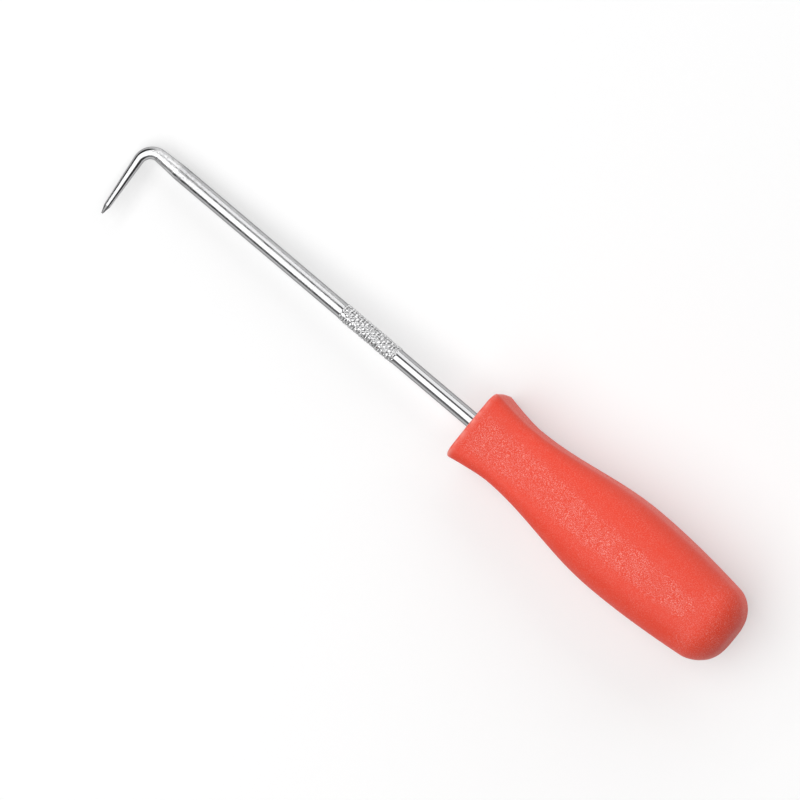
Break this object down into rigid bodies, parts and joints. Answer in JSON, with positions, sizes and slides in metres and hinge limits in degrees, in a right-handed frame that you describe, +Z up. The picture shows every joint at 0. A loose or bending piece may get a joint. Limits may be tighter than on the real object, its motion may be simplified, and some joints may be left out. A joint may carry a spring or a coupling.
{
  "type": "o-ring pick",
  "caption": "Hand tool for lifting seals out of their grooves: a bent, pointed and knurled steel wire with a red moulded handle.",
  "frame": {"origin": "centre of the handle's front face, on the wire's centre line", "axes": "+X along the tool towards the hook, +Y the way the hook points, +Z up from the table that the tool rests on"},
  "size_m": [0.1397, 0.0237, 0.0183],
  "materials": {
    "plated_steel": "polished",
    "red_plastic": "satin"
  },
  "bodies": {
    "root": {"pick_shaft": "plated_steel", "handle": "red_plastic"}
  },
  "joints": []
}
